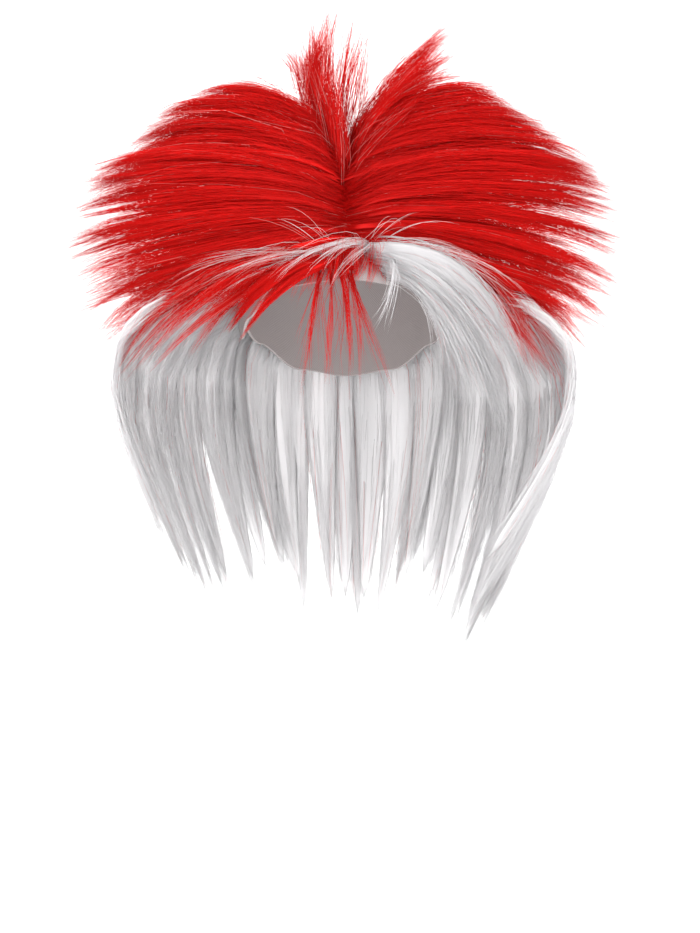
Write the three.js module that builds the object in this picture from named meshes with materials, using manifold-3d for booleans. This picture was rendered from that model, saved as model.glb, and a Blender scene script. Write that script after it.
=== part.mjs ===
// A spiky red and white mullet wig in its worn form: a stretch net cap, and wefts of hair sewn to it.
// Millimetres and degrees. +Z is up, the front is -Y, and the origin is the inside top of the cap.
// Azimuth turns round the cap from the front (0) towards +X (90), and elevation rises from the level
// of the dome's middle (0) to the crown (90).
import * as THREE from "three";
import { mergeVertices } from "three/addons/utils/BufferGeometryUtils.js";
import Module from "manifold-3d";

const wasm = await Module();
wasm.setup();

// Driving dimensions
const DOME = { halfWidth: 76, halfDepth: 96, height: 105 };
const CAP = { wall: 2, columns: 32, rows: 6 };
const WEFT = { standOff: 1.4, thickness: 1.6, height: 9, overhang: 0.06, degreesPerStep: 14 };
const LOCK = {
  sides: 4, steps: 7, rootThickness: 2.6, fullAt: 0.4, leave: 0.15, arrive: 0.3, taper: 3, fill: 0.94, gapsPastTip: 6,
};
const GAP = 1.2;

// The cap's edge: front hairline, temple tab, the cut over the ear, and the nape
const RIM = [
  { azimuth: 0, elevation: 12 },
  { azimuth: 40, elevation: 9 },
  { azimuth: 62, elevation: -2 },
  { azimuth: 78, elevation: -10 },
  { azimuth: 96, elevation: -2 },
  { azimuth: 122, elevation: -12 },
  { azimuth: 150, elevation: -23 },
  { azimuth: 180, elevation: -26 },
];

// Finishes of the hair and of the net
const FINISH = {
  red: { color: 0xc21614, roughness: 0.5 },
  white: { color: 0xe4e3e6, roughness: 0.5 },
  net: { color: 0x9f9a98, roughness: 0.9 },
};

// Wefts that stand alike on both sides, given for the +X side.
// Each row is one fan of locks: roots run from one place on the cap to another (azimuth, elevation), and tips
// run along an arc through three points. lift pushes a lock off the cap, spread pushes its lower half outwards,
// and droop raises it before the tip. A pair holds the values at the fan's two ends.
const PAIRED_FANS = [
  { node: "middle_layer", hair: "red", locks: 6, roots: [[5, 48], [7, 29]],
    tips: [[186, -42, -12], [200, -40, -48], [192, -44, -98]],
    lift: [36, 24], spread: [0, 0], droop: [34, 18], width: 34, thickness: 8 },
];

// Wefts that stand on one side only, or run across the middle
const SINGLE_FANS = [
  { node: "front_lock", hair: "white", locks: 4, roots: [[24, 15], [12, 25]],
    tips: [[72, -104, -155], [108, -100, -198], [136, -88, -176]],
    lift: [30, 40], spread: [10, 20], droop: [20, 80], width: 24, thickness: 6 },
  { node: "front_lock", hair: "white", locks: 1, roots: [[18, 20], [22, 18]],
    tips: [[14, -112, -116], [20, -112, -119], [26, -110, -121]],
    lift: [40, 40], spread: [20, 20], droop: [0, 0], width: 10, thickness: 5 },
  { node: "fringe", hair: "red", locks: 5, roots: [[-14, 17], [3, 16]],
    tips: [[-34, -110, -158], [-6, -116, -164], [30, -110, -170]],
    lift: [10, 10], spread: [0, 0], droop: [26, 26], width: 8, thickness: 4 },
  { node: "fringe", hair: "red", locks: 1, roots: [[-2, 20], [-10, 20]],
    tips: [[-70, -98, -120], [-80, -96, -116], [-88, -92, -110]],
    lift: [20, 20], spread: [0, 0], droop: [20, 20], width: 18, thickness: 6 },
  { node: "tuft_left", hair: "red", locks: 3, roots: [[-84, 79], [-16, 77]],
    tips: [[-38, -8, 102], [-16, -14, 115], [4, -18, 116]],
    lift: [66, 34], spread: [0, 0], droop: [-8, -8], width: 18, thickness: 8 },
  { node: "tuft_right", hair: "red", locks: 3, roots: [[8, 77], [64, 81]],
    tips: [[74, -24, 68], [82, -18, 88], [78, -14, 104]],
    lift: [36, 36], spread: [0, 0], droop: [14, 14], width: 15, thickness: 7 },
  { node: "back_lower_layer", hair: "red", locks: 9, roots: [[88, 20], [272, 20]],
    tips: [[174, 20, -122], [0, 150, -184], [-174, 20, -122]],
    lift: [30, 30], spread: [0, 0], droop: [44, 44], width: 36, thickness: 8 },
  { node: "back_middle_layer", hair: "red", locks: 9, roots: [[50, 46], [310, 46]],
    tips: [[164, -12, -90], [0, 168, -116], [-164, -12, -90]],
    lift: [32, 32], spread: [0, 0], droop: [42, 42], width: 38, thickness: 8 },
  { node: "back_upper_layer", hair: "red", locks: 9, roots: [[76, 72], [284, 72]],
    tips: [[160, 22, -4], [0, 162, -30], [-160, 22, -4]],
    lift: [36, 36], spread: [0, 0], droop: [36, 36], width: 38, thickness: 8 },
  { node: "upper_layer_left", hair: "red", locks: 6, roots: [[-26, 76], [-6, 54]],
    tips: [[-112, -12, 46], [-154, -10, 18], [-188, -10, -18]],
    lift: [40, 32], spread: [0, 0], droop: [36, 36], width: 34, thickness: 8 },
  { node: "upper_layer_right", hair: "red", locks: 6, roots: [[26, 76], [6, 54]],
    tips: [[116, -12, 44], [158, -10, 20], [188, -10, -18]],
    lift: [40, 32], spread: [0, 0], droop: [36, 36], width: 34, thickness: 8 },
  { node: "lower_layer_left", hair: "red", locks: 5, roots: [[-4, 25], [-46, 16]],
    tips: [[-112, -82, -138], [-158, -64, -148], [-194, -34, -120]],
    lift: [26, 28], spread: [0, 0], droop: [54, 54], width: 30, thickness: 7 },
  { node: "lower_layer_right", hair: "red", locks: 5, roots: [[38, 20], [62, 18]],
    tips: [[116, -76, -138], [158, -60, -148], [194, -30, -120]],
    lift: [26, 28], spread: [0, 0], droop: [54, 54], width: 30, thickness: 7 },
  { node: "nape_tail", hair: "white", locks: 6, roots: [[150, -8], [210, -8]],
    tips: [[32, 98, -326], [0, 108, -346], [-32, 98, -326]],
    lift: [30, 30], spread: [10, 10], droop: [0, 0], width: 26, thickness: 7 },
  { node: "side_weft_left", hair: "white", locks: 7, roots: [[-64, 9], [-138, -2]],
    tips: [[-128, -30, -264], [-92, 40, -318], [-40, 86, -300]],
    lift: [152, 36], spread: [34, 12], droop: [0, 0], width: 32, thickness: 7 },
  { node: "side_weft_right", hair: "white", locks: 7, roots: [[64, 9], [138, -2]],
    tips: [[94, -32, -296], [88, 40, -352], [42, 86, -300]],
    lift: [170, 36], spread: [44, 12], droop: [0, 0], width: 32, thickness: 7 },
];

const radians = THREE.MathUtils.degToRad;
const smooth = THREE.MathUtils.smoothstep;
const mix = THREE.MathUtils.lerp;
const UP = new THREE.Vector3(0, 0, 1);

// A point of the cap's inner dome, pushed outwards by offset
function onDome(azimuth, elevation, offset) {
  const level = Math.cos(radians(elevation));
  return new THREE.Vector3(
    (DOME.halfWidth + offset) * level * Math.sin(radians(azimuth)),
    -(DOME.halfDepth + offset) * level * Math.cos(radians(azimuth)),
    (DOME.height + offset) * Math.sin(radians(elevation)) - DOME.height,
  );
}

// The direction straight off the dome
function offDome(azimuth, elevation) {
  const p = onDome(azimuth, elevation, 0);
  p.z += DOME.height;
  return new THREE.Vector3(p.x / DOME.halfWidth ** 2, p.y / DOME.halfDepth ** 2, p.z / DOME.height ** 2).normalize();
}

// The elevation of the cap's edge, eased from one row of RIM to the next
function rimElevation(azimuth) {
  const round = Math.abs(azimuth > 180 ? azimuth - 360 : azimuth);
  const next = Math.max(1, RIM.findIndex((row) => row.azimuth >= round));
  const [a, b] = [RIM[next - 1], RIM[next]];
  return mix(a.elevation, b.elevation, smooth(round, a.azimuth, b.azimuth));
}

// A closed body from its corners and triangles, turned to face outwards
function solidFrom(corners, triangles) {
  const volume = triangles.reduce((sum, [a, b, c]) =>
    sum + corners[a].dot(new THREE.Vector3().crossVectors(corners[b], corners[c])), 0);
  const facing = volume < 0 ? triangles.map(([a, b, c]) => [a, c, b]) : triangles;
  return new wasm.Manifold(new wasm.Mesh({
    numProp: 3,
    vertProperties: new Float32Array(corners.flatMap((p) => p.toArray())),
    triVerts: new Uint32Array(facing.flat()),
  }));
}

// Triangles between rings of equal size that follow each other, first to last
function bridge(rings, size) {
  const made = [];
  for (let ring = 0; ring < rings - 1; ring++) {
    for (let i = 0; i < size; i++) {
      const [a, b] = [ring * size + i, ring * size + ((i + 1) % size)];
      made.push([a, b, b + size], [a, b + size, a + size]);
    }
  }
  return made;
}

// Triangles that close a ring with one point
function closeTo(point, firstOfRing, size) {
  return Array.from({ length: size }, (_, i) => [point, firstOfRing + i, firstOfRing + ((i + 1) % size)]);
}

// The net cap: a dome whose outer and inner faces meet along the rim
function capSolid() {
  const corners = [onDome(0, 90, CAP.wall)];
  for (const [offset, fromCrown] of [[CAP.wall, true], [0, false]]) {
    for (let row = 1; row <= CAP.rows; row++) {
      const share = (fromCrown ? row : CAP.rows + 1 - row) / CAP.rows;
      for (let column = 0; column < CAP.columns; column++) {
        const azimuth = (360 * column) / CAP.columns;
        corners.push(onDome(azimuth, mix(90, rimElevation(azimuth), share), offset));
      }
    }
  }
  corners.push(onDome(0, 90, 0));
  const rings = 2 * CAP.rows;
  const lastRing = 1 + (rings - 1) * CAP.columns;
  const walls = bridge(rings, CAP.columns).map((triangle) => triangle.map((i) => i + 1));
  const crown = closeTo(0, 1, CAP.columns).map(([a, b, c]) => [a, c, b]);
  return solidFrom(corners, [...walls, ...crown, ...closeTo(corners.length - 1, lastRing, CAP.columns)]);
}

// The whole dome with its wall and a little air round it, which the hair stays out of
function capRoom() {
  const air = CAP.wall + WEFT.standOff / 2;
  const ball = new THREE.SphereGeometry(1, CAP.columns, CAP.columns / 2);
  ball.scale(DOME.halfWidth + air, DOME.halfDepth + air, DOME.height + air).translate(0, 0, -DOME.height);
  ball.deleteAttribute("normal").deleteAttribute("uv");
  const { attributes, index } = mergeVertices(ball);
  return new wasm.Manifold(new wasm.Mesh({
    numProp: 3, vertProperties: attributes.position.array, triVerts: new Uint32Array(index.array),
  }));
}

// Where a fan's roots are at share 0 to 1 across it
function rootOf(fan, share) {
  const [from, to] = fan.roots;
  return { azimuth: mix(from[0], to[0], share), elevation: mix(from[1], to[1], share) };
}

// The line that a lock follows, at share 0 to 1 across its fan
function lockPath(fan, share) {
  const { azimuth, elevation } = rootOf(fan, share);
  const root = onDome(azimuth, elevation, CAP.wall + WEFT.standOff + WEFT.thickness / 2);
  const off = offDome(azimuth, elevation);
  const outwards = new THREE.Vector3(off.x, off.y, 0).normalize();
  const [from, via, to] = fan.tips.map((p) => new THREE.Vector3(...p));
  const bend = via.clone().multiplyScalar(2).addScaledVector(from, -0.5).addScaledVector(to, -0.5);
  const tip = new THREE.QuadraticBezierCurve3(from, bend, to).getPoint(share);
  const chord = tip.clone().sub(root);
  const leaving = root.clone()
    .addScaledVector(off, mix(...fan.lift, share))
    .addScaledVector(chord, LOCK.leave);
  const arriving = tip.clone()
    .addScaledVector(chord, -LOCK.arrive)
    .addScaledVector(outwards, mix(...fan.spread, share))
    .addScaledVector(UP, mix(...fan.droop, share));
  return new THREE.CubicBezierCurve3(root, leaving, arriving, tip);
}

// One lock: a flat spindle along its path that fills its share of the fan and ends in a point
function lockSolid(fan, share, extra) {
  const path = lockPath(fan, share);
  const aside = 1 / Math.max(1, fan.locks - 1) / 2;
  const [before, after] = [lockPath(fan, share - aside), lockPath(fan, share + aside)];
  const corners = [];
  for (let step = 0; step < LOCK.steps; step++) {
    const along = step / LOCK.steps;
    const point = Math.sqrt(1 - along ** LOCK.taper);
    const tangent = path.getTangent(along);
    const middle = path.getPoint(along).addScaledVector(tangent, step === 0 ? -extra : 0);
    const across = after.getPoint(along).sub(before.getPoint(along));
    across.addScaledVector(tangent, -across.dot(tangent));
    const width = Math.min(fan.width, LOCK.fill * across.length()) * point;
    const thickness = mix(LOCK.rootThickness, fan.thickness, smooth(along, 0, LOCK.fullAt)) * point;
    across.normalize();
    const thick = new THREE.Vector3().crossVectors(tangent, across);
    for (let side = 0; side < LOCK.sides; side++) {
      const turn = (2 * Math.PI * side) / LOCK.sides;
      corners.push(middle.clone()
        .addScaledVector(across, (width / 2 + extra) * Math.cos(turn))
        .addScaledVector(thick, (thickness / 2 + extra) * Math.sin(turn)));
    }
  }
  corners.push(path.getPoint(1).addScaledVector(path.getTangent(1), extra * LOCK.gapsPastTip));
  corners.push(path.getPoint(0).addScaledVector(path.getTangent(0), -extra));
  const tip = closeTo(corners.length - 2, (LOCK.steps - 1) * LOCK.sides, LOCK.sides);
  const root = closeTo(corners.length - 1, 0, LOCK.sides).map(([a, b, c]) => [a, c, b]);
  return solidFrom(corners, [...bridge(LOCK.steps, LOCK.sides), ...tip, ...root]);
}

// The sewn strip that carries a fan: it follows the fan's roots over the cap
function weftSolid(fan, extra) {
  const [from, to] = fan.roots;
  const steps = Math.ceil(Math.abs(to[0] - from[0]) / WEFT.degreesPerStep) + 2;
  const length = onDome(...from, CAP.wall).distanceTo(onDome(...to, CAP.wall));
  const overhang = WEFT.overhang + extra / length;
  const half = WEFT.height / 2 + extra;
  const [inner, outer] = [WEFT.standOff - extra, WEFT.standOff + WEFT.thickness + extra];
  const corners = [];
  for (let step = 0; step <= steps; step++) {
    const share = mix(-overhang, 1 + overhang, step / steps);
    const [here, next] = [rootOf(fan, share), rootOf(fan, share + WEFT.overhang)];
    const seam = onDome(here.azimuth, here.elevation, CAP.wall);
    const off = offDome(here.azimuth, here.elevation);
    const along = onDome(next.azimuth, next.elevation, CAP.wall).sub(seam);
    const aside = new THREE.Vector3().crossVectors(off, along).normalize();
    for (const [side, height] of [[-half, inner], [-half, outer], [half, outer], [half, inner]]) {
      corners.push(seam.clone().addScaledVector(aside, side).addScaledVector(off, height));
    }
  }
  const last = 4 * steps;
  const ends = [[0, 2, 1], [0, 3, 2], [last, last + 1, last + 2], [last, last + 2, last + 3]];
  return solidFrom(corners, [...bridge(steps + 1, 4), ...ends]);
}

// A fan as one body: its strip and its locks, grown by extra
function fanSolid(fan, extra) {
  const shares = Array.from({ length: fan.locks }, (_, i) => (fan.locks > 1 ? i / (fan.locks - 1) : 0.5));
  return shares.reduce((body, share) => body.add(lockSolid(fan, share, extra)), weftSolid(fan, extra));
}

// A paired fan, moved to one side
function onSide(fan, side) {
  const flip = ([x, ...rest]) => [x * side, ...rest];
  const suffix = side < 0 ? "_left" : "_right";
  return { ...fan, node: fan.node + suffix, roots: fan.roots.map(flip), tips: fan.tips.map(flip) };
}

function meshOf(name, solid, finish) {
  const { vertProperties, triVerts } = solid.getMesh();
  const geometry = new THREE.BufferGeometry();
  geometry.setAttribute("position", new THREE.BufferAttribute(vertProperties, 3));
  geometry.setIndex(new THREE.BufferAttribute(triVerts, 1));
  geometry.computeVertexNormals();
  const mesh = new THREE.Mesh(geometry, new THREE.MeshStandardMaterial({ metalness: 0, ...finish }));
  mesh.name = name;
  return mesh;
}

// Every weft, each cut clear of those placed before it
const wig = new THREE.Group();
wig.add(meshOf("wig_cap", capSolid(), FINISH.net));
const fans = [...SINGLE_FANS, ...PAIRED_FANS.flatMap((fan) => [onSide(fan, -1), onSide(fan, 1)])];
const placed = [capRoom()];
for (const node of new Set(fans.map((fan) => fan.node))) {
  const own = fans.filter((fan) => fan.node === node);
  const join = (extra) => own.map((fan) => fanSolid(fan, extra)).reduce((a, b) => a.add(b));
  const cut = placed.reduce((body, other) => body.subtract(other), join(0));
  const [largest] = cut.decompose().sort((a, b) => b.volume() - a.volume());
  wig.add(meshOf(node, largest, FINISH[own[0].hair]));
  placed.push(join(GAP));
}

export default wig;
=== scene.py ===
"""A spiky red and white mullet wig: locks and strands of hair on sewn wefts, over a net cap.

Sizes in the tables are millimetres and degrees, as a maker would write them, and the meshes are in metres.
+Z is up, the front is -Y, and the origin is the inside top of the cap. Azimuth turns round the cap from the
front (0) towards +X (90), and elevation rises from the level of the dome's middle (0) to the crown (90).
"""

import math
from typing import NamedTuple

import bpy
import numpy as np
from bpy.props import FloatProperty, FloatVectorProperty, IntProperty, PointerProperty
from bpy.types import Operator, Panel, PropertyGroup
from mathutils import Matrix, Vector


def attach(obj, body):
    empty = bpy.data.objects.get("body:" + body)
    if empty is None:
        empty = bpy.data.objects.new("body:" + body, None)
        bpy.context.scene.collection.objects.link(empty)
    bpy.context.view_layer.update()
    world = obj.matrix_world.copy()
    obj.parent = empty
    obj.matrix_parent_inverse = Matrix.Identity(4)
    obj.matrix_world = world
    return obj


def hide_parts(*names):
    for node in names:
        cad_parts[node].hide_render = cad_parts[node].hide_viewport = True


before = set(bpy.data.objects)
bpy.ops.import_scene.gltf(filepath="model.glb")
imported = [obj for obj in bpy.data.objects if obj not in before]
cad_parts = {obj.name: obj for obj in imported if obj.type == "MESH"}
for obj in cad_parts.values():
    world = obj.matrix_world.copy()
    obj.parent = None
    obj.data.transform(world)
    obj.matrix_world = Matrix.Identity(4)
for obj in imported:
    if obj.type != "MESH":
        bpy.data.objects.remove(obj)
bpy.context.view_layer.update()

bl_info = {
    "name": "Mullet Wig",
    "version": (1, 0, 0),
    "blender": (4, 5, 0),
    "location": "View3D > Sidebar > Wig",
    "description": "Grows a spiky red and white mullet wig on its net cap",
    "category": "Mesh",
}

MM = 0.001
UP = np.array([0.0, 0.0, 1.0])

# The cap's inner dome and wall, and its edge: front hairline, temple tab, cut over the ear, nape
DOME_HALF_WIDTH, DOME_HALF_DEPTH, DOME_HEIGHT = 76, 96, 105
CAP_WALL = 2
RIM_AZIMUTH = (0, 40, 62, 78, 96, 122, 150, 180)
RIM_ELEVATION = (12, 9, -2, -10, -2, -12, -23, -26)

# A weft's sewn band: its section over the cap, degrees to a step along it, and its reach past its fan
WEFT_STAND_OFF, WEFT_THICKNESS, WEFT_HEIGHT = 1.4, 1.6, 3
BAND_STEP, BAND_REACH = 6, 0.06

# How far along its chord a hair leaves the cap and arrives at its tip
LEAVE, ARRIVE = 0.15, 0.3

# How far off the cap's outer face hair is kept
CLEARANCE = 0.5

# A step that keeps neighbouring locks at different heights off the cap
GOLDEN = 0.618

# A small step across a fan, which shows the way across it
NUDGE = 0.02

# How much locks differ: in their place across the fan, in width and narrowing, in length and lightness, and
# in bends as shares of their drift
LOCK_PLACE = (0.2, 0.8)
LOCK_VARIES = (0.7, 1.2)
LONG_LOCK = 1.08
LOCK_TONE = 0.1
LOCK_WANDER, LOCK_BULGE = 0.6, 0.4

# A lock's form: how late it narrows, how early it swells, and how much of that is left at its tip
PINCH_POWER = 1.5
SWELL_POWER, SWELL_TIP = 0.7, 0.35

# How much strands differ: in their places across a lock, depth, lightness, width, stain and fibre
STRAND_REACH, STRAND_DEPTH, STRAND_TONE = 1.1, 0.45, 0.2
STRAND_VARIES = (0.7, 1.3)
STAIN_VARIES = (0.4, 1)
FIBRE_SPAN = 100

# A strand's length: of a wisp beside its lock, of the longest in a wisp, and the most of its fan's line
WISP_LENGTH = (0.95, 1.03)
LONG_STRAND = 1.08
LONGEST = 1.01

# How late a lock's strands gather into wisps, how far a wisp wanders, and how much a strand tapers
GATHER_POWER, WISP_WANDER, STRAND_TAPER = 1.3, 0.4, 0.6

# What a flyaway strand does beside one that stays in its wisp: length, gathering, depth and drift
STRAY_LENGTH, KEPT_LENGTH = 0.9, 1
STRAY_GATHER, KEPT_GATHER = 0.2, 0.75
STRAY_DEPTH, KEPT_DEPTH = 3, 1
STRAY_DRIFT, KEPT_DRIFT = 1.4, 0.15

# A lock's dense core: corners round it, half its thickness as a share of the lock's depth, its share of the
# roots' scatter, how thin its root is and where it is full, and the width of one of its fibres
CORE_SIDES, CORE_DEPTH, CORE_SCATTER = 8, 0.22, 0.6
CORE_ROOT, CORE_SWELL = 0.3, 0.4
FIBRE_WIDTH = 0.45

# How far shadow edges are moved to hide a core's flat facets
SHADOW_EDGE = 0.3

# The short strands of a lock's tip: the last place along the lock where one starts, the first place as a
# share of that, and rings along a strand
TIPS_START, TIPS_FIRST, TIPS_RINGS = 0.6, 0.5, 3

# The margin round a body's cell in the layout on the flat
CELL_MARGIN = 0.1


class Style(NamedTuple):
    """How a fan's hair is cut and dressed: counts, millimetres, and shares of a length or of the fan."""
    locks: int = 32  # locks across the fan
    strands: int = 80  # whole strands in a lock
    tips: int = 76  # short strands at a lock's tip
    wisps: int = 3  # wisps that a lock's strands gather into
    fill: float = 1.35  # half a lock's width, as a share of its place in the fan
    edge: float = 0.12  # how far locks reach past the fan's ends
    scatter: float = 13  # how far a root may lie off the seam, in millimetres
    depth: float = 4.5  # how far a lock may lie above or below the fan, in millimetres
    drift: float = 5  # how far a tip may wander, in millimetres
    lay: float = 0.7  # the flattest lock: 0 lies along the cap, 1 stands off it as the fan says
    lean: float = 0.04  # how far a lock leans across the fan
    pinch: float = 0.6  # how much a lock narrows to its tip
    shortest: float = 0.88  # length of the shortest lock
    ragged: float = 0.64  # length of the shortest strand in a lock
    core: float = 0.62  # length of a lock's dense core
    stray: float = 0.16  # share of strands that fly away
    stain: float = 0.015  # share of strands of another colour
    tone: float = 0.6  # lightness, from 0 to 1
    rings: int = 4  # rings along a strand

    @property
    def core_rings(self):
        """Rings along a lock's core, which is wider than a strand and needs more of them."""
        return 2 * self.rings + 1


class Fan(NamedTuple):
    """One weft's fan of hair: its roots and tips, how it leaves the cap, and its style."""
    roots: tuple  # azimuth and elevation of its two ends on the cap
    tips: tuple  # start, middle and end of the arc of its tips
    lift: tuple  # how far its hair rises off the cap, at its two ends
    spread: tuple = (0, 0)  # how far its hair bows outwards before the tips
    droop: tuple = (0, 0)  # how far its hair falls to the tips
    style: Style = Style()


def flipped(places):
    """Places with their first number, an azimuth or an X, turned to the other side."""
    return tuple((-first, *others) for first, *others in places)


def mirrored(fan):
    """The same fan on the other side."""
    return fan._replace(roots=flipped(fan.roots), tips=flipped(fan.tips))


SWEPT = Style()
RAISED = Style(scatter=20, depth=6.5, lay=0.8, shortest=0.8, stain=0.03)
WISPY = Style(locks=11, strands=72, tips=60, wisps=2, fill=1.2, edge=0.12, scatter=16, lay=0.4, lean=0.06,
              pinch=0.75, shortest=0.95, ragged=0.6, core=0.45, stray=0.3, stain=0.15)
BACK = Style(locks=44, strands=51, tips=24, fill=1.8, edge=0.08, scatter=32, lay=0, lean=0.03, core=0.27)
TUFT = Style(locks=10, strands=52, tips=24, edge=0.2, scatter=16, drift=8, lay=1, lean=0.06, pinch=0.4,
             ragged=0.6, core=0, stain=0.1)
RISING = TUFT._replace(locks=5, strands=40, tips=20, edge=0.1, scatter=5)
TEMPLE = TUFT._replace(locks=5, strands=110, wisps=1, edge=0.15, scatter=4, depth=2, drift=2, pinch=0.7,
                       ragged=0.75, core=0.4, stray=0.06, stain=0)
HAIRLINE = WISPY._replace(locks=12, strands=60, tips=0, scatter=6, pinch=0.2, core=0)
THIN = Style(locks=7, strands=26, tips=0, wisps=1, fill=0.13, edge=0.05, scatter=4, depth=1.2, drift=9,
             lay=1, lean=0.08, pinch=0.3, ragged=0.7, core=0, stray=0.3, tone=0.3, rings=6)
LOOSE = Style(locks=4, strands=12, tips=0, wisps=2, fill=0.6, edge=0.1, scatter=2, depth=2, lay=1, core=0,
              stray=0.25, stain=0.5, rings=7)
FLYAWAY = LOOSE._replace(strands=2, stray=1)
LONG = Style(locks=14, strands=92, tips=96, wisps=2, fill=1.2, edge=0.02, scatter=8, depth=1.8, drift=4,
             lay=1, lean=0.02, pinch=0.55, shortest=0.95, ragged=0.84, core=0.95, tone=0.85, rings=6)

MIDDLE_LAYER = Fan(
    roots=((5, 48), (7, 29)), tips=((186, -42, -12), (200, -40, -48), (192, -44, -98)),
    lift=(36, 24), droop=(34, 18), style=SWEPT)

# The red wefts, by the node that each stands for
RED_FANS = {
    "upper_layer_left": [Fan(
        roots=((-26, 76), (-6, 54)), tips=((-112, -12, 46), (-154, -10, 18), (-188, -10, -18)),
        lift=(40, 32), droop=(36, 36), style=RAISED)],
    "upper_layer_right": [Fan(
        roots=((26, 76), (6, 54)), tips=((116, -12, 44), (158, -10, 20), (188, -10, -18)),
        lift=(40, 32), droop=(36, 36), style=RAISED)],
    "middle_layer_left": [mirrored(MIDDLE_LAYER)],
    "middle_layer_right": [MIDDLE_LAYER],
    "lower_layer_left": [Fan(
        roots=((-4, 25), (-46, 16)), tips=((-112, -82, -138), (-158, -64, -148), (-194, -34, -120)),
        lift=(26, 28), droop=(54, 54), style=WISPY)],
    "lower_layer_right": [
        Fan(roots=((38, 20), (62, 18)), tips=((116, -76, -138), (158, -60, -148), (194, -30, -120)),
            lift=(26, 28), droop=(54, 54), style=WISPY),
        Fan(roots=((58, 18), (62, 18)), tips=((160, -30, -196), (163, -28, -200), (158, -26, -204)),
            lift=(30, 30), spread=(36, 36), droop=(30, 30),
            style=LOOSE._replace(locks=1, strands=16, stain=0)),
    ],
    "back_upper_layer": [Fan(
        roots=((76, 72), (284, 72)), tips=((160, 22, -4), (0, 162, -30), (-160, 22, -4)),
        lift=(36, 36), droop=(36, 36), style=BACK)],
    "back_middle_layer": [Fan(
        roots=((50, 46), (310, 46)), tips=((164, -12, -90), (0, 168, -116), (-164, -12, -90)),
        lift=(32, 32), droop=(42, 42), style=BACK)],
    "back_lower_layer": [Fan(
        roots=((88, 20), (272, 20)), tips=((174, 20, -122), (0, 150, -184), (-174, 20, -122)),
        lift=(30, 30), droop=(44, 44), style=BACK)],
}

# The upright tufts, each with loose hair that rises to it from the parting
TUFT_FANS = {
    "tuft_left": [
        Fan(roots=((-84, 79), (-16, 77)), tips=((-38, -8, 102), (-16, -14, 115), (4, -18, 116)),
            lift=(66, 34), droop=(-8, -8), style=TUFT),
        Fan(roots=((-14, 72), (-2, 56)), tips=((-38, -14, 78), (-26, -20, 96), (-8, -24, 104)),
            lift=(30, 30), droop=(-4, -4), style=RISING),
    ],
    "tuft_right": [
        Fan(roots=((8, 77), (64, 81)), tips=((74, -24, 68), (82, -18, 88), (78, -14, 104)),
            lift=(36, 36), droop=(14, 14), style=TUFT),
        Fan(roots=((2, 56), (14, 72)), tips=((58, -34, 56), (66, -28, 74), (70, -22, 92)),
            lift=(26, 26), droop=(8, 8), style=RISING),
    ],
}

# The thin fringe, the red lock at the temple, and the short hair along the hairline
FRINGE_FANS = {
    "fringe": [
        Fan(roots=((-14, 17), (3, 16)), tips=((-34, -110, -158), (-6, -116, -164), (30, -110, -170)),
            lift=(10, 10), droop=(26, 26), style=THIN),
        Fan(roots=((-2, 20), (-10, 20)), tips=((-75, -97, -122), (-80, -96, -118), (-85, -94, -114)),
            lift=(20, 20), droop=(20, 20), style=TEMPLE),
        Fan(roots=((18, 27), (-16, 27)), tips=((24, -100, -86), (0, -105, -90), (-34, -101, -96)),
            lift=(4, 4), droop=(6, 6), style=HAIRLINE),
    ],
}

# The long white wefts
WHITE_FANS = {
    "side_weft_left": [Fan(
        roots=((-64, 9), (-138, -2)), tips=((-128, -30, -264), (-92, 40, -318), (-40, 86, -300)),
        lift=(152, 36), spread=(34, 12), style=LONG)],
    "side_weft_right": [Fan(
        roots=((64, 9), (138, -2)), tips=((94, -32, -296), (88, 40, -352), (42, 86, -300)),
        lift=(170, 36), spread=(44, 12), style=LONG)],
    "nape_tail": [Fan(
        roots=((150, -8), (210, -8)), tips=((32, 98, -326), (0, 108, -346), (-32, 98, -326)),
        lift=(30, 30), spread=(10, 10), style=LONG._replace(locks=10, edge=0.3, stain=0.05))],
}

# The white front lock, with loose and flyaway hair along the hairline. Its lower tone than the long white
# wefts is painted shade, set against the stronger light that falls on it at the front
FRONT_FANS = {
    "front_lock": [
        Fan(roots=((24, 15), (12, 25)), tips=((72, -104, -155), (108, -100, -198), (136, -88, -176)),
            lift=(30, 40), spread=(10, 20), droop=(20, 80),
            style=LONG._replace(locks=7, fill=1.3, pinch=0.3, core=0.8, shortest=0.85, tone=0.35)),
        Fan(roots=((18, 20), (22, 18)), tips=((14, -112, -116), (20, -112, -119), (26, -110, -121)),
            lift=(40, 40), spread=(20, 20), style=LOOSE._replace(locks=3, strands=10, stain=0)),
        Fan(roots=((14, 24), (9, 26)), tips=((-8, -116, -88), (-28, -117, -80), (-56, -110, -80)),
            lift=(22, 24), droop=(10, 14), style=LOOSE._replace(locks=5, strands=16, stain=0.3)),
        Fan(roots=((-2, 24), (-12, 21)), tips=((-96, -100, -100), (-112, -96, -96), (-126, -88, -88)),
            lift=(14, 14), droop=(22, 22), style=LOOSE._replace(locks=6, strands=8)),
        Fan(roots=((14, 24), (20, 24)), tips=((96, -108, -84), (118, -102, -94), (130, -96, -108)),
            lift=(20, 20), droop=(28, 28), style=LOOSE._replace(locks=6, strands=8)),
        Fan(roots=((-6, 25), (-14, 24)), tips=((-40, -124, -56), (-58, -120, -46), (-78, -114, -44)),
            lift=(20, 20), droop=(12, 12), style=FLYAWAY),
        Fan(roots=((10, 26), (18, 25)), tips=((36, -124, -44), (60, -120, -40), (86, -112, -46)),
            lift=(20, 20), droop=(12, 12), style=FLYAWAY),
    ],
}

# The hair's grain: turns of the pattern along a strand, its shift from tone to tone, and its relief
GRAIN_ALONG, GRAIN_SHIFT = 3, 40
GRAIN_RELIEF = 0.3 * MM

# The net's threads round the cap and up it, the darker tone of its holes beside them, which is painted
# shade seen through the openings, and its relief
NET_ROUND, NET_UP = 620, 430
NET_HOLE_SHADE = 0.72
NET_RELIEF = 0.4 * MM

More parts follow.
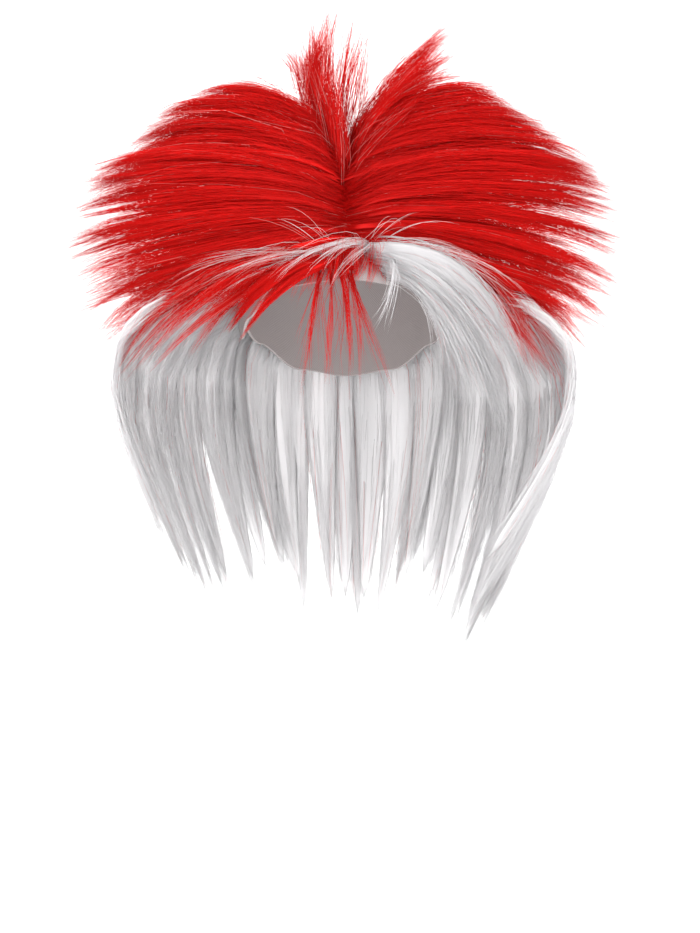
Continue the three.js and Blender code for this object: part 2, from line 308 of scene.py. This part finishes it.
# The stage: the floor, the sky's strength, and each lamp's place and power
FLOOR_RADIUS, FLOOR_COLOUR = 6, (0.97, 0.97, 0.97)
SKY_STRENGTH = 1.7
LAMPS = {"key": ((-1.3, -2.4, 0.9), 46), "fill": ((1.3, -2.4, 0.3), 34)}
LAMP_SIZE, LAMP_AIM = 2.0, (0, 0, -0.1)
CAMERA_AIM, SENSOR = (0.003, 0.0, -0.2164), 36


class WigSettings(PropertyGroup):
    """The sizes and colours that a user would change."""
    red_width: FloatProperty(
        name="Red strand", description="Width of a red strand at its root", default=0.28 * MM,
        min=0.05 * MM, unit="LENGTH")
    white_width: FloatProperty(
        name="White strand", description="Width of a white strand at its root", default=0.28 * MM,
        min=0.05 * MM, unit="LENGTH")
    red: FloatVectorProperty(
        name="Red", description="Colour of the red hair", default=(0.94, 0.012, 0.009),
        subtype="COLOR", min=0, max=1)
    # The deep red is the red hair's darkest real tone, and also what the painted shade at the roots darkens
    # it towards
    deep_red: FloatVectorProperty(
        name="Deep red", description="Colour of the darkest red strands", default=(0.60, 0.005, 0.004),
        subtype="COLOR", min=0, max=1)
    white: FloatVectorProperty(
        name="White", description="Colour of the white hair", default=(0.915, 0.91, 0.915),
        subtype="COLOR", min=0, max=1)
    # The shaded white is the white hair's darkest real tone, and also the painted shade that darkens the
    # front lock
    shaded_white: FloatVectorProperty(
        name="Shaded white", description="Colour of the darkest white strands", default=(0.72, 0.71, 0.72),
        subtype="COLOR", min=0, max=1)
    pale_pink: FloatVectorProperty(
        name="Pale pink", description="Colour of thin strands where red and white mix",
        default=(0.80, 0.30, 0.28), subtype="COLOR", min=0, max=1)
    net: FloatVectorProperty(
        name="Net", description="Colour of the cap's net", default=(0.42, 0.375, 0.37),
        subtype="COLOR", min=0, max=1)
    seed: IntProperty(
        name="Seed", description="Start of the random styling, so that it is the same each time", default=7)
    floor_drop: FloatProperty(
        name="Floor drop", description="How far the floor lies below the crown", default=0.56,
        unit="LENGTH")
    frame_height: FloatProperty(
        name="Frame height", description="Height of the picture at the wig", default=0.681, unit="LENGTH")
    camera_distance: FloatProperty(
        name="Camera distance", description="From the camera to the wig", default=1.7, unit="LENGTH")
    camera_elevation: FloatProperty(
        name="Camera elevation", description="How far the camera looks down", default=math.radians(3),
        subtype="ANGLE")


def settings():
    """The scene's own settings for the wig."""
    return bpy.context.scene.wig_settings


class Surface:
    """A material's nodes, all added by one method."""

    def __init__(self, name):
        self.material = bpy.data.materials.new(name)
        self.material.use_nodes = True
        self.tree = self.material.node_tree
        self.tree.nodes.clear()

    def add(self, kind, options=None, sockets=None, output=0):
        """Adds a node, sets its options, fills its sockets, and gives back one of its outputs."""
        node = self.tree.nodes.new(kind)
        for key, value in (options or {}).items():
            setattr(node, key, value)
        for key, value in (sockets or {}).items():
            if isinstance(value, Shade):
                self.tree.links.new(value.socket, node.inputs[key])
            else:
                node.inputs[key].default_value = value
        return Shade(self, node.outputs[output]) if node.outputs else node

    def attribute(self, name):
        """A number that the mesh carries."""
        return self.add("ShaderNodeAttribute", {"attribute_name": name}, output="Fac")

    def blend(self, factor, first, second):
        """A colour between two others."""
        sockets = {0: factor, 6: rgba(first), 7: rgba(second)}
        return self.add("ShaderNodeMix", {"data_type": "RGBA"}, sockets, output=2)

    def lit_through(self, colour):
        """A shader that passes light on in a colour."""
        return self.add("ShaderNodeBsdfTranslucent", sockets={"Color": rgba(colour)})

    def mix(self, factor, first, second):
        """A shader between two others."""
        return self.add("ShaderNodeMixShader", sockets={0: factor, 1: first, 2: second})

    def close(self, shader):
        """Ends the material in a shader."""
        self.add("ShaderNodeOutputMaterial", sockets={"Surface": shader})
        return self.material


class Shade:
    """A node's output, on which plain arithmetic adds Math nodes."""

    def __init__(self, surface, socket):
        self.surface = surface
        self.socket = socket

    def math(self, operation, *values):
        sockets = dict(enumerate(values))
        return self.surface.add("ShaderNodeMath", {"operation": operation}, sockets)

    def __add__(self, other):
        return self.math("ADD", self, other)

    def __sub__(self, other):
        return self.math("SUBTRACT", self, other)

    def __mul__(self, other):
        return self.math("MULTIPLY", self, other)

    def __pow__(self, other):
        return self.math("POWER", self, other)

    def __rsub__(self, other):
        return self.math("SUBTRACT", other, self)

    __radd__ = __add__
    __rmul__ = __mul__


def rgba(colour):
    """A colour with its alpha, or a link left as it is."""
    return colour if isinstance(colour, Shade) else (*colour, 1.0)


def hair_material(name, deep, main, stained, uneven, painted_root_shade, through):
    """Synthetic hair: uneven fibres along every lock, some of another colour, lit through a little, and
    painted shade darkening the roots.
    """
    surface = Surface(name)
    tone = surface.attribute("tone")
    place = surface.add("ShaderNodeCombineXYZ", sockets={
        "X": surface.attribute("fibre"), "Y": GRAIN_ALONG * surface.attribute("along"),
        "Z": GRAIN_SHIFT * tone})
    grain = surface.add("ShaderNodeTexNoise", sockets={"Vector": place, "Scale": 1.0, "Detail": 2.0})
    # Painted shade: the colour is darkened towards each strand's root
    painted_shade = painted_root_shade * (1 - surface.attribute("along")) ** 3
    lightness = tone + uneven * (grain - 0.5) - painted_shade
    stain = surface.attribute("stain")
    colour = surface.blend(stain, surface.blend(lightness, deep, main), stained)
    bump = surface.add("ShaderNodeBump", sockets={
        "Strength": 0.35, "Distance": GRAIN_RELIEF, "Height": grain})
    shader = surface.add("ShaderNodeBsdfPrincipled", sockets={
        "Base Color": colour,
        "Roughness": 0.55 - 0.12 * tone,
        "Specular IOR Level": 0.15,
        "Normal": bump,
    })
    clear = surface.mix(lightness, surface.lit_through(deep), surface.lit_through(main))
    clear = surface.mix(stain, clear, surface.lit_through(stained))
    return surface.close(surface.mix(through, shader, clear))


def net_material(name, colour):
    """Fine stretch net: diamond holes between thin threads, raised a little, with painted shade in the
    holes.
    """
    surface = Surface(name)
    uv = surface.add("ShaderNodeTexCoord", output="UV")
    x = surface.add("ShaderNodeSeparateXYZ", sockets={0: uv}, output=0) * NET_ROUND
    y = surface.add("ShaderNodeSeparateXYZ", sockets={0: uv}, output=1) * NET_UP
    first = (x + y).math("PINGPONG", x + y, 1.0)
    second = (x - y).math("PINGPONG", x - y, 1.0)
    thread = first.math("MAXIMUM", first, second) ** 4
    hole_shade = tuple(channel * NET_HOLE_SHADE for channel in colour)
    bump = surface.add("ShaderNodeBump", sockets={
        "Strength": 0.5, "Distance": NET_RELIEF, "Height": thread})
    shader = surface.add("ShaderNodeBsdfPrincipled", sockets={
        "Base Color": surface.blend(thread, hole_shade, colour),
        "Roughness": 0.95 - 0.15 * thread,
        "Normal": bump,
    })
    return surface.close(shader)


def unit(vectors):
    """Vectors of length one."""
    return vectors / np.maximum(np.linalg.norm(vectors, axis=-1, keepdims=True), 1e-9)


def bell(rng, spread, shape):
    """Random offsets about zero, none of them far out."""
    return np.clip(rng.normal(0, spread, shape), -2 * spread, 2 * spread)


def lerp(ends, share):
    """The value at a share of the way between two ends."""
    return ends[0] + (ends[1] - ends[0]) * share


def smooth(value, low, high):
    """An eased step from 0 to 1."""
    x = np.clip((value - low) / (high - low), 0, 1)
    return x * x * (3 - 2 * x)


def on_dome(azimuth, elevation, offset):
    """Points of the cap's inner dome, pushed outwards, in millimetres."""
    azimuth, elevation = np.radians(azimuth), np.radians(elevation)
    level = np.cos(elevation)
    return np.stack([
        (DOME_HALF_WIDTH + offset) * level * np.sin(azimuth),
        -(DOME_HALF_DEPTH + offset) * level * np.cos(azimuth),
        (DOME_HEIGHT + offset) * np.sin(elevation) - DOME_HEIGHT,
    ], axis=-1)


def off_dome(azimuth, elevation):
    """Directions straight off the dome."""
    point = on_dome(azimuth, elevation, 0) + DOME_HEIGHT * UP
    return unit(point / np.array([DOME_HALF_WIDTH, DOME_HALF_DEPTH, DOME_HEIGHT]) ** 2)


def rim_elevation(azimuth):
    """The elevation of the cap's edge, eased from one place of the rim to the next."""
    turned = abs((azimuth + 180) % 360 - 180)
    for i in range(len(RIM_AZIMUTH) - 1):
        if turned <= RIM_AZIMUTH[i + 1]:
            ease = smooth(turned, RIM_AZIMUTH[i], RIM_AZIMUTH[i + 1])
            return lerp(RIM_ELEVATION[i:i + 2], ease)
    return RIM_ELEVATION[-1]


def root_place(fan, share):
    """Azimuth and elevation of a fan's roots at shares across it."""
    (azimuth_0, elevation_0), (azimuth_1, elevation_1) = fan.roots
    return lerp((azimuth_0, azimuth_1), share), lerp((elevation_0, elevation_1), share)


def fan_points(fan, share, along, lay):
    """Points of a fan at shares across it and along its hair, in millimetres. Lay is 1 for hair that stands
    off the cap as the fan says, and 0 for hair that lies along it."""
    azimuth, elevation = root_place(fan, share)
    root = on_dome(azimuth, elevation, CAP_WALL + WEFT_STAND_OFF + WEFT_THICKNESS / 2)
    off = off_dome(azimuth, elevation)
    outwards = unit(off * (1 - UP))
    start, via, end = (np.array(point, float) for point in fan.tips)
    bend = 2 * via - (start + end) / 2
    t = share[..., None]
    tip = (1 - t) ** 2 * start + 2 * t * (1 - t) * bend + t ** 2 * end
    chord = tip - root
    leaving = root + lay * off * lerp(fan.lift, t) + LEAVE * chord
    arriving = tip - ARRIVE * chord + outwards * lerp(fan.spread, t) + lay * UP * lerp(fan.droop, t)
    s = along[..., None]
    return ((1 - s) ** 3 * root + 3 * s * (1 - s) ** 2 * leaving
            + 3 * s ** 2 * (1 - s) * arriving + s ** 3 * tip)


def outside_cap(points):
    """Points, with those inside the cap's outer face moved out to it."""
    reach = np.array([DOME_HALF_WIDTH, DOME_HALF_DEPTH, DOME_HEIGHT]) + CAP_WALL + CLEARANCE
    centred = points + DOME_HEIGHT * UP
    depth = np.linalg.norm(centred / reach, axis=-1, keepdims=True)
    return np.where(depth < 1, centred / np.maximum(depth, 1e-6), centred) - DOME_HEIGHT * UP


class Dressing:
    """The locks that a fan's hair falls into, each with its own place, length and lean."""

    def __init__(self, fan, rng):
        style = fan.style
        count = style.locks
        span = 1 + 2 * style.edge
        self.fan, self.rng = fan, rng
        self.centre = (np.arange(count) + rng.uniform(*LOCK_PLACE, count)) * span / count - style.edge
        self.half = style.fill * rng.uniform(*LOCK_VARIES, count) * span / count
        self.lay = lerp((style.lay, 1), (rng.random() + GOLDEN * np.arange(count)) % 1)
        self.lean = bell(rng, style.lean, count)
        self.pinch = style.pinch * rng.uniform(*LOCK_VARIES, count)
        self.length = rng.uniform(style.shortest, LONG_LOCK, count)
        self.depth = style.depth * rng.uniform(-1, 1, count)
        self.wander = bell(rng, LOCK_WANDER * style.drift, (count, 3))
        self.bulge = bell(rng, LOCK_BULGE * style.drift, (count, 3))
        self.tone = style.tone + rng.uniform(-LOCK_TONE, LOCK_TONE, count)

    def lines(self, lock, aside, along, depth, wander, scatter):
        """Hairs of the given locks. Aside is -1 to 1 across a lock, and scatter moves roots off a seam."""
        gather = 1 - self.pinch[lock][:, None] * along ** PINCH_POWER
        share = self.centre[lock][:, None] + self.half[lock][:, None] * aside * gather
        share += self.lean[lock][:, None] * along ** 2
        lay = self.lay[lock][:, None, None]
        points = fan_points(self.fan, share, along, lay)
        across = fan_points(self.fan, share + NUDGE, along, lay) - points
        thick = unit(np.cross(np.gradient(points, axis=1), across))
        swell = np.sin(np.pi * np.minimum(along, 1) ** SWELL_POWER) + SWELL_TIP * along
        points += thick * (depth[:, None] * swell)[..., None]
        points += wander[:, None] * along[..., None] ** 2
        points += self.bulge[lock][:, None] * np.sin(np.pi * np.minimum(along, 1))[..., None]
        beside = np.cross(off_dome(*root_place(self.fan, share[:, 0])), across[:, 0])
        points += (unit(beside) * scatter[:, None])[:, None] * (1 - along[..., None]) ** 2
        return outside_cap(points)

    def strands(self, each, start, rings):
        """Loose strands, gathered in wisps with a few strays: so many in each lock, which begin up to start
        along it. Gives their lines in millimetres, how far along each point is, and their tones."""
        style, rng = self.fan.style, self.rng
        n = style.locks * each
        lock = np.repeat(np.arange(style.locks), each)
        wisp = rng.integers(0, style.wisps, n)
        of_lock = lock * style.wisps + wisp
        wisps = style.locks * style.wisps
        stray = rng.random(n) < style.stray
        length = self.length[lock] * rng.uniform(*WISP_LENGTH, wisps)[of_lock]
        length = length * rng.uniform(style.ragged, LONG_STRAND, n)
        begin = start * rng.uniform(TIPS_FIRST, 1, n)
        length = np.minimum(np.where(stray, STRAY_LENGTH, KEPT_LENGTH) * length, LONGEST)
        along = begin[:, None] + (length - begin)[:, None] * np.linspace(0, 1, rings + 1)
        gather = np.where(stray, STRAY_GATHER, KEPT_GATHER)[:, None] * along ** GATHER_POWER
        of_wisp = ((2 * wisp + 1) / style.wisps - 1)[:, None]
        aside = lerp((rng.uniform(-STRAND_REACH, STRAND_REACH, (n, 1)), of_wisp), gather)
        off_lock = bell(rng, STRAND_DEPTH * style.depth, n) * np.where(stray, STRAY_DEPTH, KEPT_DEPTH)
        depth = self.depth[lock] + off_lock
        wander = self.wander[lock] + bell(rng, WISP_WANDER * style.drift, (wisps, 3))[of_lock]
        wander += bell(rng, style.drift, (n, 3)) * np.where(stray, STRAY_DRIFT, KEPT_DRIFT)[:, None]
        points = self.lines(lock, aside, along, depth, wander, rng.uniform(-1, 1, n) * style.scatter)
        phase = rng.uniform(0, 2 * np.pi, (n, 1, 3))
        wave = np.sin(2 * np.pi * along[..., None] + phase) - np.sin(phase)
        return outside_cap(points + wave * along[..., None]), along, self.tone[lock]

    def cores(self):
        """The corners of each lock's dense core, in millimetres, and half its greatest width."""
        style, rng = self.fan.style, self.rng
        lock = np.arange(style.locks)
        share = np.linspace(0, 1, style.core_rings + 1)
        along = style.core * self.length[:, None] * share
        scatter = rng.uniform(-CORE_SCATTER, CORE_SCATTER, style.locks) * style.scatter
        left, right = (self.lines(lock, np.full_like(along, side), along, self.depth, self.wander, scatter)
                       for side in (-1.0, 1.0))
        middle = (left + right) / 2
        taper = np.sqrt(1 - share ** 2)
        half = (right - left) / 2 * taper[:, None]
        swell = lerp((CORE_ROOT, 1), smooth(share, 0, CORE_SWELL))
        thick = unit(np.cross(np.gradient(middle, axis=1), half))
        thick *= (style.depth * CORE_DEPTH * taper * swell)[:, None]
        turn = 2 * np.pi * np.arange(CORE_SIDES) / CORE_SIDES
        rings = (middle[:, :-1, None] + np.cos(turn)[:, None] * half[:, :-1, None]
                 + np.sin(turn)[:, None] * thick[:, :-1, None])
        corners = np.concatenate([rings.reshape(style.locks, -1, 3), middle[:, -1:]], axis=1)
        return outside_cap(corners), np.linalg.norm(half, axis=2).max(axis=1)


def strand_tubes(paths, width, rng):
    """Thin three-sided hairs round paths, pointed at the tip: vertices of every hair, in metres."""
    n, count, _ = paths.shape
    tangent = unit(np.gradient(paths, axis=1))
    side = unit(np.cross(tangent, rng.normal(0, 1, (n, 1, 3))))
    other = np.cross(tangent, side)
    taper = 1 - STRAND_TAPER * np.linspace(0, 1, count) ** 2
    radius = (width / 2 * rng.uniform(*STRAND_VARIES, (n, 1)) * taper)[:, :-1, None, None]
    turn = 2 * np.pi * np.arange(3) / 3
    around = (np.cos(turn)[:, None] * side[:, :-1, None] + np.sin(turn)[:, None] * other[:, :-1, None])
    rings = paths[:, :-1, None] * MM + radius * around
    return np.concatenate([rings.reshape(n, -1, 3), paths[:, -1:] * MM], axis=1)


def wall_faces(rings, sides):
    """Faces between each ring of corners and the next."""
    places = [(sides * ring, j, (j + 1) % sides) for ring in range(rings - 1) for j in range(sides)]
    return [(first + j, first + k, first + sides + k, first + sides + j) for first, j, k in places]


def spindle_faces(rings, sides):
    """Faces of a closed body with a flat root and a pointed tip: its sides, its point and its root."""
    last = sides * (rings - 1)
    point = [(last + j, last + (j + 1) % sides, sides * rings) for j in range(sides)]
    return wall_faces(rings, sides), point, [tuple(reversed(range(sides)))]


def spindle_places(rings, sides):
    """Places on the flat for a spindle's corners: across from 0 to 1, and along from 0 to 1."""
    along = np.append(np.repeat(np.arange(rings), sides), rings) / rings
    across = np.append(np.tile(np.arange(sides), rings) / (sides - 1), 0.5)
    return np.stack([across, along], axis=1)


def weft_band(fan):
    """The sewn strip along a fan's roots: vertices in metres, and faces."""
    steps = 2 + int(abs(fan.roots[1][0] - fan.roots[0][0]) / BAND_STEP)
    share = np.linspace(-BAND_REACH, 1 + BAND_REACH, steps + 1)
    seam = on_dome(*root_place(fan, share), CAP_WALL)
    off = off_dome(*root_place(fan, share))
    aside = unit(np.cross(off, np.gradient(seam, axis=0)))
    low, high = WEFT_STAND_OFF, WEFT_STAND_OFF + WEFT_THICKNESS
    section = ((-1, low), (-1, high), (1, high), (1, low))
    edges = [seam + aside * side * WEFT_HEIGHT / 2 + off * height for side, height in section]
    ends = [(3, 2, 1, 0), tuple(4 * steps + j for j in range(4))]
    return np.stack(edges, axis=1).reshape(-1, 3) * MM, wall_faces(steps + 1, 4) + ends


class HairMesh:
    """A growing mesh of strands and bands, with what the material reads of each."""

    def __init__(self):
        self.points, self.faces, self.places = [], [], []
        self.values = {"tone": [], "along": [], "stain": [], "fibre": []}
        self.count = 0

    def grow(self, points, faces, places, **values):
        """Adds bodies of equal make: points (bodies, corners, 3), each with the same faces."""
        bodies, corners, _ = points.shape
        starts = self.count + corners * np.arange(bodies)
        for group in faces:
            self.faces.append((starts[:, None, None] + np.array(group)[None]).reshape(-1, len(group[0])))
        self.places.append((bodies, corners, places))
        self.points.append(points.reshape(-1, 3))
        for key, value in values.items():
            self.values[key].append(np.broadcast_to(value, (bodies, corners)).ravel())
        self.count += bodies * corners

    def finish(self, name, material):
        """Makes the object."""
        mesh = bpy.data.meshes.new(name)
        points = np.concatenate(self.points)
        loops = np.concatenate([faces.ravel() for faces in self.faces])
        sizes = np.concatenate([np.full(len(faces), faces.shape[1]) for faces in self.faces])
        mesh.vertices.add(len(points))
        mesh.vertices.foreach_set("co", points.ravel())
        mesh.loops.add(len(loops))
        mesh.loops.foreach_set("vertex_index", loops)
        mesh.polygons.add(len(sizes))
        mesh.polygons.foreach_set("loop_start", np.cumsum(sizes) - sizes)
        mesh.polygons.foreach_set("use_smooth", np.ones(len(sizes), bool))
        mesh.update(calc_edges=True)
        for key, values in self.values.items():
            layer = mesh.attributes.new(key, "FLOAT", "POINT")
            layer.data.foreach_set("value", np.concatenate(values))
        uv = mesh.uv_layers.new(name="OFBake")
        uv.data.foreach_set("uv", self.layout()[loops].ravel())
        mesh.materials.append(material)
        piece = bpy.data.objects.new(name, mesh)
        piece.cycles.shadow_terminator_offset = SHADOW_EDGE
        piece.cycles.shadow_terminator_geometry_offset = SHADOW_EDGE
        bpy.context.scene.collection.objects.link(piece)
        return piece

    def layout(self):
        """Places on the flat for every corner: a small cell of its own for each body."""
        total = sum(bodies for bodies, _, _ in self.places)
        columns = math.ceil(math.sqrt(total))
        flat, first = [], 0
        for bodies, corners, places in self.places:
            number = first + np.arange(bodies)
            cell = np.stack([number % columns, number // columns], axis=1)[:, None]
            inside = cell + lerp((CELL_MARGIN, 1 - CELL_MARGIN), np.asarray(places)[None])
            flat.append((inside / columns).reshape(-1, 2))
            first += bodies
        return np.concatenate(flat)


def grow_weft(node, fans, material, width, rng):
    """One weft's hair, from all its fans: its sewn bands, its locks' cores and its strands."""
    hair = HairMesh()
    for fan in fans:
        style = fan.style
        dressing = Dressing(fan, rng)
        band, quads = weft_band(fan)
        corner = np.arange(len(band))
        flat = np.stack([corner % 4 / 3, corner // 4 / (len(band) / 4 - 1)], axis=1)
        # The band takes the darkest tone and, on red wefts, the full painted shade of a root
        hair.grow(band[None], [quads], flat, tone=0.0, along=0.0, stain=0.0, fibre=0.0)
        if style.core:
            corners, half_width = dressing.cores()
            rings = style.core_rings
            places = spindle_places(rings, CORE_SIDES)
            turn = np.append(np.tile(2 * np.pi * np.arange(CORE_SIDES) / CORE_SIDES, rings), np.pi / 2)
            hair.grow(corners * MM, spindle_faces(rings, CORE_SIDES), places,
                      tone=dressing.tone[:, None], along=places[None, :, 1], stain=0.0,
                      fibre=np.cos(turn) * half_width[:, None] / FIBRE_WIDTH)
        for each, start, rings in ((style.strands, 0, style.rings), (style.tips, TIPS_START, TIPS_RINGS)):
            if not each:
                continue
            paths, along, tone = dressing.strands(each, start, rings)
            one = (len(paths), 1)
            hair.grow(strand_tubes(paths, width, rng), spindle_faces(rings, 3), spindle_places(rings, 3),
                      tone=tone[:, None] + rng.uniform(-STRAND_TONE, STRAND_TONE, one),
                      along=np.concatenate([np.repeat(along[:, :-1], 3, axis=1), along[:, -1:]], axis=1),
                      stain=np.where(rng.random(one) < style.stain, rng.uniform(*STAIN_VARIES, one), 0),
                      fibre=rng.uniform(0, FIBRE_SPAN, one))
    piece = hair.finish(node + "_hair", material)
    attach(piece, "root")
    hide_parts(node)
    return piece


class WeftOperator:
    """What the operators that grow hair share."""
    bl_options = {"REGISTER", "UNDO"}
    fans = {}
    shift = 0

    def execute(self, context):
        wig = settings()
        for number, (node, fans) in enumerate(self.fans.items()):
            rng = np.random.default_rng(wig.seed + self.shift + number)
            grow_weft(node, fans, self.material(wig), self.width(wig), rng)
        return {"FINISHED"}


class RedHair(WeftOperator):
    """Operators that grow red hair."""
    slot = "red_hair"

    def material(self, wig):
        made = bpy.data.materials.get("red_hair_finish")
        # The red hair is darkened at its roots by painted shade; the white hair is not
        return made or hair_material(
            "red_hair_finish", wig.deep_red, wig.red, wig.pale_pink, uneven=0.8, painted_root_shade=0.8,
            through=0.45)

    def width(self, wig):
        return wig.red_width


class WhiteHair(WeftOperator):
    """Operators that grow white hair."""
    slot = "white_hair"

    def material(self, wig):
        made = bpy.data.materials.get("white_hair_finish")
        return made or hair_material(
            "white_hair_finish", wig.shaded_white, wig.white, wig.pale_pink, uneven=0.3, painted_root_shade=0.0,
            through=0.55)

    def width(self, wig):
        return wig.white_width


class WIG_OT_red_layers(RedHair, Operator):
    """Grows the red layers that sweep out from the parting and over the back"""
    bl_idname = "wig.red_layers"
    bl_label = "Red layers"
    fans = RED_FANS
    shift = 100


class WIG_OT_tufts(RedHair, Operator):
    """Grows the two upright tufts on the crown"""
    bl_idname = "wig.tufts"
    bl_label = "Tufts"
    fans = TUFT_FANS
    shift = 200


class WIG_OT_fringe(RedHair, Operator):
    """Grows the thin fringe and the temple lock"""
    bl_idname = "wig.fringe"
    bl_label = "Fringe"
    fans = FRINGE_FANS
    shift = 300


class WIG_OT_white_wefts(WhiteHair, Operator):
    """Grows the long white hair of the sides and the nape"""
    bl_idname = "wig.white_wefts"
    bl_label = "White wefts"
    fans = WHITE_FANS
    shift = 400


class WIG_OT_front_lock(WhiteHair, Operator):
    """Grows the white lock that falls over the front"""
    bl_idname = "wig.front_lock"
    bl_label = "Front lock"
    fans = FRONT_FANS
    shift = 500


class WIG_OT_net_cap(Operator):
    """Models the net cap: a dome cut to the hairline, with a wall"""
    bl_idname = "wig.net_cap"
    bl_label = "Net cap"
    bl_options = {"REGISTER", "UNDO"}

    def execute(self, context):
        bpy.ops.object.select_all(action="DESELECT")
        bpy.ops.mesh.primitive_uv_sphere_add(segments=96, ring_count=48, radius=1)
        cap = context.object
        cap.name = cap.data.name = "net_cap"
        bpy.ops.object.mode_set(mode="EDIT")
        bpy.ops.mesh.select_all(action="SELECT")
        bpy.ops.mesh.bisect(plane_co=(0, 0, 0), plane_no=(0, 0, 1), clear_inner=True)
        bpy.ops.object.mode_set(mode="OBJECT")
        shape_to_rim(cap)
        wall = cap.modifiers.new("wall", "SOLIDIFY")
        wall.thickness = CAP_WALL * MM
        wall.offset = 1
        bpy.ops.object.modifier_apply(modifier=wall.name)
        bpy.ops.object.shade_smooth_by_angle(angle=math.radians(40))
        cap.data.materials.append(net_material("cap_net_finish", settings().net))
        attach(cap, "root")
        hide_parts("wig_cap")
        return {"FINISHED"}


def shape_to_rim(cap):
    """Turns a half ball into the cap's dome, drawn down to its edge all round."""
    for vertex in cap.data.vertices:
        x, y, z = vertex.co
        azimuth = math.degrees(math.atan2(x, -y))
        share = 1 - math.degrees(math.asin(max(-1.0, min(1.0, z)))) / 90
        elevation = 90 + (rim_elevation(azimuth) - 90) * share
        vertex.co = Vector(on_dome(azimuth, elevation, 0)) * MM
    cap.data.update()


class WIG_OT_stage(Operator):
    """Sets the pale floor, the soft light and the camera"""
    bl_idname = "wig.stage"
    bl_label = "Stage"
    bl_options = {"REGISTER", "UNDO"}

    def execute(self, context):
        wig = settings()
        scene = context.scene
        bpy.ops.object.select_all(action="DESELECT")
        bpy.ops.mesh.primitive_circle_add(
            vertices=64, radius=FLOOR_RADIUS, fill_type="NGON", location=(0, 0, -wig.floor_drop))
        floor = context.object
        floor.name = "floor"
        surface = Surface("floor_finish")
        floor.data.materials.append(surface.close(surface.add("ShaderNodeBsdfPrincipled", sockets={
            "Base Color": rgba(FLOOR_COLOUR), "Roughness": 0.9})))

        world = bpy.data.worlds.new("studio")
        world.use_nodes = True
        world.node_tree.nodes["Background"].inputs["Color"].default_value = (1, 1, 1, 1)
        world.node_tree.nodes["Background"].inputs["Strength"].default_value = SKY_STRENGTH
        scene.world = world
        for name, (place, power) in LAMPS.items():
            bpy.ops.object.light_add(type="AREA", location=place)
            lamp = context.object
            lamp.name = name
            lamp.data.size = LAMP_SIZE
            lamp.data.energy = power
            lamp.rotation_euler = (Vector(LAMP_AIM) - lamp.location).to_track_quat("-Z", "Y").to_euler()

        back = Vector((0, -math.cos(wig.camera_elevation), math.sin(wig.camera_elevation)))
        bpy.ops.object.camera_add(location=Vector(CAMERA_AIM) + back * wig.camera_distance)
        camera = context.object
        camera.rotation_euler = (-back).to_track_quat("-Z", "Y").to_euler()
        camera.data.sensor_width = SENSOR
        camera.data.lens = SENSOR * wig.camera_distance / wig.frame_height
        scene.camera = camera
        scene.view_settings.view_transform = "Standard"
        return {"FINISHED"}


class WIG_PT_panel(Panel):
    """The wig's sizes, colours and pieces"""
    bl_idname = "WIG_PT_panel"
    bl_label = "Mullet wig"
    bl_space_type = "VIEW_3D"
    bl_region_type = "UI"
    bl_category = "Wig"

    def draw(self, context):
        for name in WigSettings.__annotations__:
            self.layout.prop(context.scene.wig_settings, name)
        for operator in OPERATORS:
            self.layout.operator(operator.bl_idname)


OPERATORS = (WIG_OT_net_cap, WIG_OT_white_wefts, WIG_OT_red_layers, WIG_OT_tufts, WIG_OT_fringe,
             WIG_OT_front_lock, WIG_OT_stage)
CLASSES = (WigSettings, *OPERATORS, WIG_PT_panel)


def register():
    for cls in CLASSES:
        bpy.utils.register_class(cls)
    bpy.types.Scene.wig_settings = PointerProperty(type=WigSettings)


def unregister():
    del bpy.types.Scene.wig_settings
    for cls in reversed(CLASSES):
        bpy.utils.unregister_class(cls)


def main():
    register()
    bpy.ops.wig.net_cap()
    bpy.ops.wig.white_wefts()
    bpy.ops.wig.red_layers()
    bpy.ops.wig.tufts()
    bpy.ops.wig.fringe()
    bpy.ops.wig.front_lock()
    bpy.ops.wig.stage()
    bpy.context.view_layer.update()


if __name__ == "__main__":
    main()
